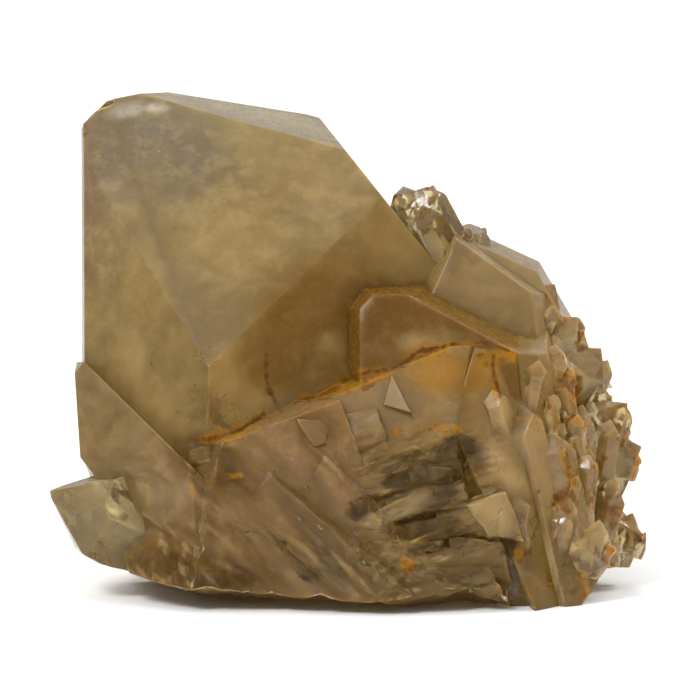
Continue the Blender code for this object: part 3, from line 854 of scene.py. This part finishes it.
# colours by crystal, then the patches laid over them
kindOf = [m.name.replace("kind.", "") for m in cluster.data.materials]
faceKind = np.empty(len(cluster.data.polygons), dtype=np.int32)
cluster.data.polygons.foreach_get("material_index", faceKind)
faceEnds = np.empty(len(cluster.data.polygons) * 3, dtype=np.int32)
cluster.data.polygons.foreach_get("vertices", faceEnds)
faceEnds = faceEnds.reshape(-1, 3)
bodies = {
    # colour of the cloud inside, and how clear the crystal is
    "main": ((0.195, 0.13, 0.028), 0.45),
    "left": ((0.225, 0.145, 0.046), 0.42),
    "clear": ((0.36, 0.27, 0.095), 0.66),
    "smoky": ((0.125, 0.056, 0.001), 0.2),
    "leaning": ((0.24, 0.146, 0.036), 0.42),
    "upper": ((0.34, 0.228, 0.072), 0.66),
    "upright": ((0.47, 0.315, 0.125), 0.62),
    "mass": ((0.25, 0.144, 0.018), 0.45),
    "milky": ((0.235, 0.13, 0.04), 0.35),
    "splinter": ((0.2, 0.12, 0.025), 0.45),
    "flake": ((0.38, 0.27, 0.12), 0.5),
    "back": ((0.265, 0.165, 0.045), 0.5),
}


def spread(values):
    # values for each kind of crystal, brought to the corners that its faces share
    values = np.array(values, dtype=float)[faceKind]
    total, shares = np.zeros((len(x),) + values.shape[1:]), np.zeros(len(x))
    for k in range(3):
        np.add.at(total, faceEnds[:, k], values)
        np.add.at(shares, faceEnds[:, k], 1)
    return total / (shares.reshape(-1, *([1] * (values.ndim - 1))) + 1e-9)


def lay(colour, mask):
    # a colour laid over the tint so far
    mask = mask[:, None]
    return tint * (1 - mask) + np.array(colour) * mask


tint = spread([bodies[k][0] for k in kindOf])
clearness = spread([bodies[k][1] for k in kindOf])
onMain = spread([k == "main" for k in kindOf])
# starts as the smoky crystal's own smoke; the painted crease shade is added to it further down
smoked = spread([k == "smoky" for k in kindOf])
# painted light and shade on the big crystal: each face is tinted by where it looks, the right front darker
# as painted shade, the left front lighter as painted light, the top and the narrow left side pale grey as
# painted reflections of the white room; where each looks, its colour and how strong
mainFacesPaintedLight = (
    ("right front", (0.44, -0.89, 0.14), (0.232, 0.13, 0.016), 0.9),
    ("left front", (-0.667, -0.732, 0.138), (0.29, 0.19, 0.05), 0.8),
    ("grey top", (0.224, -0.18, 0.957), (0.15, 0.132, 0.088), 0.8),
    ("narrow left", (-1.0, -0.07, 0.004), (0.42, 0.4, 0.32), 0.8),
)
for name, looks, colour, strength in mainFacesPaintedLight:
    same = facing @ np.array(Vector(looks).normalized())
    tint = lay(colour, onMain * soft(0.93, 0.99, same) * strength)
patches = (
    # colour, strength, then ovals: right, up, wide, high, lean
    ("tip haze", (0.1, 0.076, 0.056), 0.82, ((-40, 90, 17, 13, -20), (-50, 77, 8, 14, 0))),
    ("chipped white", (0.55, 0.5, 0.42), 0.7, ((-45, 100, 3.4, 1.6, 10), (-39, 100.4, 2.2, 0.9, 0))),
    # painted reflection: a pale strip down the narrow left side of the big crystal, where it mirrors the
    # white room
    ("pale side", (0.6, 0.58, 0.5), 0.9, ((-54.2, 70, 0.9, 20, 0),)),
    ("yellow heart", (0.31, 0.215, 0.066), 0.5, ((-40, 72, 12, 16, 0), (-24, 74, 14, 10, 0))),
    ("white corner", (0.3, 0.215, 0.105), 0.5, ((-3, 84, 8, 9, -40),)),
    ("side smoke", (0.12, 0.052, 0.002), 0.75, (
        (-8, 58, 11, 12, 35), (3, 60, 6, 9, 0), (-14, 50, 8, 6, 0))),
    ("smoky corner", (0.12, 0.052, 0.002), 0.7, ((8, 60, 9, 6, 0),)),
    ("pale scratches", (0.4, 0.28, 0.11), 0.6, ((-3.5, 53, 2.6, 2.4, 0), (15, 53.4, 5.5, 2.0, 5))),
    ("honey glow", (0.3, 0.135, 0.003), 0.9, ((19, 47.2, 9, 4.4, -5),)),
    ("milky foot", (0.24, 0.135, 0.055), 0.6, ((-22, 22, 18, 8, -35), (-6, 34, 12, 7, -30))),
    ("brown root", (0.055, 0.024, 0.001), 0.95, ((-30, 8.5, 15, 4.6, -10), (-27, 30, 9, 5, -30))),
    ("dark windows", (0.02, 0.008, 0.0), 1.0, (
        (22, 31.5, 6.5, 3.4, 0), (14, 26, 8, 6.0, 0), (6, 21.5, 7, 2.6, 8), (15, 16, 8, 4.0, 0),
        (32, 13.4, 3.2, 2.0, 0), (-7, 13, 3.4, 1.4, -20), (-8, 8, 2.4, 1.4, 0), (-2, 8.6, 2.6, 1.4, 0))),
    ("grey lens", (0.11, 0.08, 0.034), 0.8, (
        (31, 7.8, 5.6, 2.2, 10), (-1, 9, 12, 3, -12), (16, 6, 12, 3.4, 0))),
    ("pale patches", (0.46, 0.33, 0.14), 0.9, (
        (27, 19.5, 4.4, 4.4, -30), (48, 15, 4, 3.6, 0), (28.5, 39.6, 2.8, 3.8, 25),
        (12, 14, 2.6, 0.6, 5), (16, 10.8, 3.6, 0.7, 8), (34, 14, 1.5, 1.3, 0))),
    ("fibrous wedge", (0.4, 0.3, 0.14), 0.85, ((9, 20.6, 7, 1.8, 24),)),
    ("beige columns", (0.45, 0.3, 0.13), 0.8, ((33, 30, 6.5, 9, 15),)),
    ("brown blotch", (0.1, 0.046, 0.004), 0.7, (
        (-19, 25, 4.0, 1.3, -35), (-29, 26, 2, 2, 0), (-32, 14, 7, 2.4, -40))),
    # a pale V of lines in the clear crystal (first two ovals), and a painted glint along the rounded lower
    # edge of the left crystal (last two ovals)
    ("glassy lines", (0.62, 0.52, 0.3), 0.7, (
        (-56, 22.2, 3.0, 0.35, 55), (-55.6, 19, 2.6, 0.3, -45),
        (-49.4, 25, 2.8, 0.5, -45), (-46, 21, 2.2, 0.5, -35))),
    ("pale line", (0.38, 0.26, 0.12), 0.6, (
        (-21.4, 18.4, 4.4, 0.5, -45), (-33, 15.4, 2.2, 0.8, -45), (-26, 10.6, 4.6, 0.4, -28))),
)
smokyPatches = ("side smoke", "smoky corner", "honey glow", "brown root", "dark windows")
raggedEdge = (noisy(3.2, (0.4, 1, 1.2), 61, 4, turn=17) - 0.5) * 2.2
for name, colour, strength, ovals in patches:
    mask = blots(ovals) * seen
    if name == "dark windows":
        mask = windows = soft(0.25, 0.6, mask + raggedEdge * mask * (1.6 - mask))
    if name in smokyPatches:
        smoked = np.maximum(smoked, mask)
    tint = lay(colour, mask * strength)
    clearness = clearness * (1 - 0.4 * strength * mask)
cloud = noisy(22, seed=31, octaves=5)
column = noisy(5, (0.25, 1, 1.3), 7, turn=-43)
# painted shade: darker within 4.5 mm of the inward corners where crystals meet, left of the small crystals
# on the right
creaseShade = soft(4.5, 0.0, crease) * soft(40, 34, x)
# brown clouds, milky columns, hollows between them and painted shade in the creases where crystals meet:
# colour, strength and where
veils = (
    ((0.15, 0.08, 0.012), 0.35, soft(0.5, 0.28, cloud)),
    ((0.29, 0.18, 0.09), 0.5, soft(0.52, 0.7, column) * milkyFront * (1 - smoked)),
    ((0.13, 0.07, 0.014), 0.45, soft(0.48, 0.34, column) * milkyFront),
    # painted shade in the creases
    ((0.11, 0.056, 0.004), 0.55, creaseShade),
)
for colour, strength, mask in veils:
    tint = lay(colour, mask * strength)
clearness = clearness * (1 - 0.5 * frostTip) * (1 - 0.6 * smoked) * (0.75 + 0.5 * cloud)
# the painted crease shade also counts as smoke, so the finish keeps the pale mottling off it
smoked = np.maximum(smoked, creaseShade * 0.9)
seam = farFrom(seams, places) + 8 * (1 - seen)
# iron stains: right, up, wide, high, lean, and some in the creases on the right
ironSpots = (
    (44.5, 44, 1.8, 4, 0), (49, 28, 1.4, 3.0, 0), (52.5, 19.3, 3.8, 1.6, 20), (33, 11.8, 1.2, 1.6, 0),
    (33.7, 38.4, 2.4, 0.4, 0), (19, 36.3, 3.6, 1.3, -10), (9, 35.8, 1.2, 0.9, 40), (11, 10, 1.8, 1.8, 0),
    (28.6, 45, 1.0, 3.2, 0), (29, 50, 5, 2.0, 0), (2, 45, 8, 1.0, 20), (-22, 27.4, 2.2, 0.8, 0),
    (-31, 24, 1.4, 1.0, 0), (41, 6, 3, 1, 0),
)
ironCreases = soft(2.6, 0.0, crease) * soft(0.46, 0.6, noisy(9, seed=21)) * soft(34, 42, x)
iron = np.maximum(blots(ironSpots) * seen, ironCreases * 0.9)
# streaks: how the grain runs in each zone, and how strong it shows
zones = (
    (milkyFront, grown(3.0, (0.22, 1, 1.4), -43), 0.4),
    (brokenFront * (1 - 0.85 * windows), grown(2.2, (0.3, 1, 1.3), 24), 0.45),
    (uprights, grown(1.8, (1.4, 1, 0.14), -8), 0.22),
)
elsewhere = {"grain": grown(6, (1, 1, 1), 0), "strength": 0.05, "least": 0.02}
plain = np.clip(1 - sum(zone[0] for zone in zones), elsewhere["least"], 1)
weight = plain + sum(zone[0] for zone in zones)
grainRun = plain[:, None] * elsewhere["grain"] + sum(mask[:, None] * run for mask, run, strength in zones)
grainRun = grainRun / weight[:, None]
streaked = (plain * elsewhere["strength"] + sum(mask * strength for mask, run, strength in zones)) / weight


def store(name, values, kind="FLOAT", field="value"):
    # values at the corners, for the finish to read
    layer = cluster.data.attributes.new(name, kind, "POINT")
    layer.data.foreach_set(field, values.astype(np.float32).ravel())


for name, values in {
    "clearness": clearness, "seam": seam, "seamThin": noisy(9, seed=51), "iron": iron, "frost": frostTip,
    "smoked": smoked, "broken": brokenFront, "streaked": streaked,
}.items():
    store(name, values)
store("tint", np.concatenate([tint, np.ones((len(x), 1))], axis=1), "FLOAT_COLOR", "color")
store("grainRun", grainRun, "FLOAT_VECTOR", "vector")
report("coloured")

citrine = {
    "smoothUpTo": math.radians(28), "ior": 1.544, "bumpStrength": 0.3, "bumpHeight": 0.0003,
    "cloudySpecular": 0.15, "clearSpecular": 0.25, "glassTint": (1, 0.9, 0.56, 1),
    "scatter": (1.0, 0.7, 0.3), "scatterDepth": 0.004,
    "absorbed": (0.62, 0.42, 0.04, 1), "absorption": 32.0,
}
cluster.data.materials.clear()
quartzFinish = bpy.data.materials.new("citrine quartz")
quartzFinish.use_nodes = True
cluster.data.materials.append(quartzFinish)
onlySelect(cluster)
bpy.ops.object.shade_smooth_by_angle(angle=citrine["smoothUpTo"])
cluster.name = "citrineCluster"
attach(cluster, "root")
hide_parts("citrine_cluster")


class Wire:
    # wraps a node's output, so that shader maths reads as Python
    def __init__(self, tree, socket=None):
        self.tree, self.socket = tree, socket

    def node(self, kind, settings=None, sockets=None, output=0):
        made = self.tree.nodes.new("ShaderNode" + kind)
        for name, value in (settings or {}).items():
            setattr(made, name, value)
        for name, value in (sockets or {}).items():
            slot = made.inputs[name]
            if isinstance(value, Wire):
                self.tree.links.new(value.socket, slot)
            else:
                slot.default_value = value
        return Wire(self.tree, made.outputs[output] if made.outputs else None)

    def maths(self, operation, *values):
        return self.node("Math", {"operation": operation}, dict(enumerate(values)))

    def __add__(self, other):
        return self.maths("ADD", self, other)

    def __sub__(self, other):
        return self.maths("SUBTRACT", self, other)

    def __rsub__(self, other):
        return self.maths("SUBTRACT", other, self)

    def __mul__(self, other):
        return self.maths("MULTIPLY", self, other)

    # the order doesn't matter for these two
    __radd__, __rmul__ = __add__, __mul__

    def between(self, low, high):
        # 0 at low, 1 at high, smooth between
        return self.node("MapRange", {"interpolation_type": "SMOOTHSTEP"}, {0: self, 1: low, 2: high})

    def over(self, colour, mask):
        # a colour laid over this one where the mask is 1
        sockets = {0: mask, 6: self, 7: colour if isinstance(colour, Wire) else (*colour, 1)}
        return self.node("Mix", {"data_type": "RGBA"}, sockets, 2)


tree = quartzFinish.node_tree
tree.nodes.clear()
start = Wire(tree)


def read(name, output=2):
    # an attribute of the corners: 0 reads a colour, 1 a vector and 2 a number
    return start.node("Attribute", {"attribute_name": name}, {}, output)


def grain(place, size, detail, roughness):
    # noise around 0.5; size is that of a patch, in the units of the place
    return start.node("TexNoise", {}, {0: place, 2: 1 / size, 3: detail, 4: roughness})


where = start.node("VectorMath", {"operation": "SCALE"}, {0: start.node("TexCoord", output=3), 3: 1000.0})
clearnessHere, seamHere, ironHere, brokenHere, frostHere, smokeAndCreaseShadeHere, streakedHere = (
    read(name) for name in ("clearness", "seam", "iron", "broken", "frost", "smoked", "streaked")
)
fine = grain(where, 1.3, 2.0, 0.6)
mottle = grain(where, 4.0, 3.0, 0.75)
streaks = grain(read("grainRun", 1), 1.0, 2.0, 0.7)
# colours laid in the finish; white is the colour of the painted glints
colours = {
    "pale": (0.46, 0.32, 0.13), "dark": (0.05, 0.022, 0.001), "smoke": (0.14, 0.074, 0.012),
    "amber": (0.3, 0.135, 0.006), "rust": (0.095, 0.028, 0.001), "white": (0.62, 0.57, 0.47),
    "frost": (0.21, 0.175, 0.13),
}
base = read("tint", 0)
# pale and smoky mottling, the pale kept off smoke and off the painted crease shade
base = base.over(colours["pale"], mottle.between(0.47, 0.66) * (1 - smokeAndCreaseShadeHere * 0.7) * 0.3)
base = base.over(colours["smoke"], mottle.between(0.5, 0.34) * (0.4 - smokeAndCreaseShadeHere * 0.25))
base = base.over(colours["pale"], streaks.between(0.52, 0.7) * streakedHere)
base = base.over(colours["smoke"], streaks.between(0.47, 0.3) * streakedHere)
base = base.over(colours["frost"], frostHere * fine.between(0.3, 0.7) * 0.35)
base = base.over(colours["dark"], fine.between(0.26, 0.2) * 0.7)
# painted glints: white specks where the fine noise peaks
base = base.over(colours["white"], fine.between(0.74, 0.8) * 0.4)
spotted = (ironHere + (mottle - 0.5) * 2.6).between(0.45, 0.95) * ironHere.between(0.02, 0.2)
base = base.over(colours["amber"], spotted * 0.9)
base = base.over(colours["rust"], spotted * mottle.between(0.5, 0.64) * 0.7)
away = seamHere + (mottle - 0.5) * 4.0 + (read("seamThin") - 0.5) * 3.0
stained = away.between(1.1, 0.1)
base = base.over(colours["amber"], stained * 0.75)
base = base.over(colours["rust"], (seamHere + (mottle - 0.5) * 3.0).between(0.5, 0.1) * 0.85)
relief = streaks * (brokenHere * 0.8 + 0.1)
bumped = start.node("Bump", {}, {
    "Strength": citrine["bumpStrength"], "Distance": citrine["bumpHeight"], "Height": relief,
})
rough = fine.between(0.3, 0.7) * 0.1 + brokenHere * 0.3
hazy = clearnessHere.between(0.62, 0.46)
# cloudy quartz scatters light inside, clear quartz lets it through
cloudy = start.node("BsdfPrincipled", {}, {
    "Base Color": base, "Roughness": rough + frostHere * 0.25 + 0.22, "IOR": citrine["ior"],
    "Normal": bumped, "Specular IOR Level": citrine["cloudySpecular"], "Subsurface Weight": 1.0,
    "Subsurface Radius": citrine["scatter"], "Subsurface Scale": citrine["scatterDepth"],
})
clear = start.node("BsdfPrincipled", {}, {
    "Base Color": citrine["glassTint"], "Roughness": rough + hazy * 0.35 + 0.05, "IOR": citrine["ior"],
    "Normal": bumped, "Specular IOR Level": citrine["clearSpecular"], "Transmission Weight": 1.0,
})
share = clearnessHere * (0.9 + 0.2 * mottle) * (1 - spotted * 0.8) * (1 - stained * 0.8)
surface = start.node("MixShader", {}, {0: share, 1: cloudy, 2: clear})
inside = start.node("VolumeAbsorption", {}, {
    "Color": citrine["absorbed"], "Density": citrine["absorption"],
})
start.node("OutputMaterial", {}, {"Surface": surface, "Volume": inside})

# floor, light and camera
floorLook = {"radius": 6, "colour": (0.9, 0.9, 0.9, 1), "roughness": 0.9}
clearSelection()
bpy.ops.mesh.primitive_circle_add(vertices=96, radius=floorLook["radius"], fill_type="NGON")
floor = bpy.context.active_object
floor.name = "floor"
paper = bpy.data.materials.new("pale floor")
paper.use_nodes = True
paper.node_tree.nodes["Principled BSDF"].inputs["Base Color"].default_value = floorLook["colour"]
paper.node_tree.nodes["Principled BSDF"].inputs["Roughness"].default_value = floorLook["roughness"]
floor.data.materials.append(paper)

world = bpy.data.worlds.new("soft white room")
bpy.context.scene.world = world
world.use_nodes = True
# a white room: bright behind the cluster and above it, dimmer on the camera's side
room = {"dim": 0.14, "behind": 0.35, "above": 0.7, "aboveBehind": 0.6}
sky = Wire(world.node_tree)
behind, above = (
    sky.node("SeparateXYZ", {}, {0: sky.node("TexCoord")}, axis).between(low, high)
    for axis, low, high in ((1, -0.6, 0.5), (2, 0.05, 0.8))
)
brightness = behind * room["behind"] + above * (behind * room["aboveBehind"] + room["above"]) + room["dim"]
world.node_tree.links.new(brightness.socket, world.node_tree.nodes["Background"].inputs["Strength"])
world.node_tree.nodes["Background"].inputs["Color"].default_value = (1, 1, 1, 1)

# place, size and power in watts; both lamps look at the middle of the cluster
lamps = {"key": ((-0.5, -0.7, 0.8), 0.4, 9), "rim": ((0.8, 0.4, 0.8), 0.25, 5)}
lampAim = Vector((0, 0, 0.05))
for name, (place, size, power) in lamps.items():
    lamp = bpy.data.lights.new(name, "AREA")
    lamp.shape = "DISK"
    lamp.size = size
    lamp.energy = power
    lampObject = bpy.data.objects.new(name, lamp)
    bpy.context.scene.collection.objects.link(lampObject)
    lampObject.location = place
    lampObject.rotation_euler = (lampAim - Vector(place)).to_track_quat("-Z", "Y").to_euler()

# on the board, the camera looks straight at this height from this far in front
view = {"distance": 1500, "height": 51.8, "lens": 386.0, "sensor": 36.0}
cameraData = bpy.data.cameras.new("camera")
cameraData.lens = view["lens"]
cameraData.sensor_width = view["sensor"]
camera = bpy.data.objects.new("camera", cameraData)
bpy.context.scene.collection.objects.link(camera)
tilt = Matrix.Rotation(-board["lean"], 3, "X")
shift = Vector(board["toOrigin"])
stand = (tilt @ Vector((0, -view["distance"], view["height"])) + shift) * board["millimetre"]
aim = (tilt @ Vector((0, 0, view["height"])) + shift) * board["millimetre"]
camera.location = stand
camera.rotation_euler = (aim - stand).to_track_quat("-Z", "Y").to_euler()
cameraData.clip_start, cameraData.clip_end = 0.01, 50
bpy.context.scene.camera = camera
bpy.context.scene.view_settings.view_transform = "Standard"

# light passes through many crystals; past these bounces it adds little
lightPaths = {"max_bounces": 8, "diffuse_bounces": 2, "glossy_bounces": 3, "transmission_bounces": 7}
for name, count in lightPaths.items():
    setattr(bpy.context.scene.cycles, name, count)

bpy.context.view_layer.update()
report("finished", len(cluster.data.polygons), "faces")
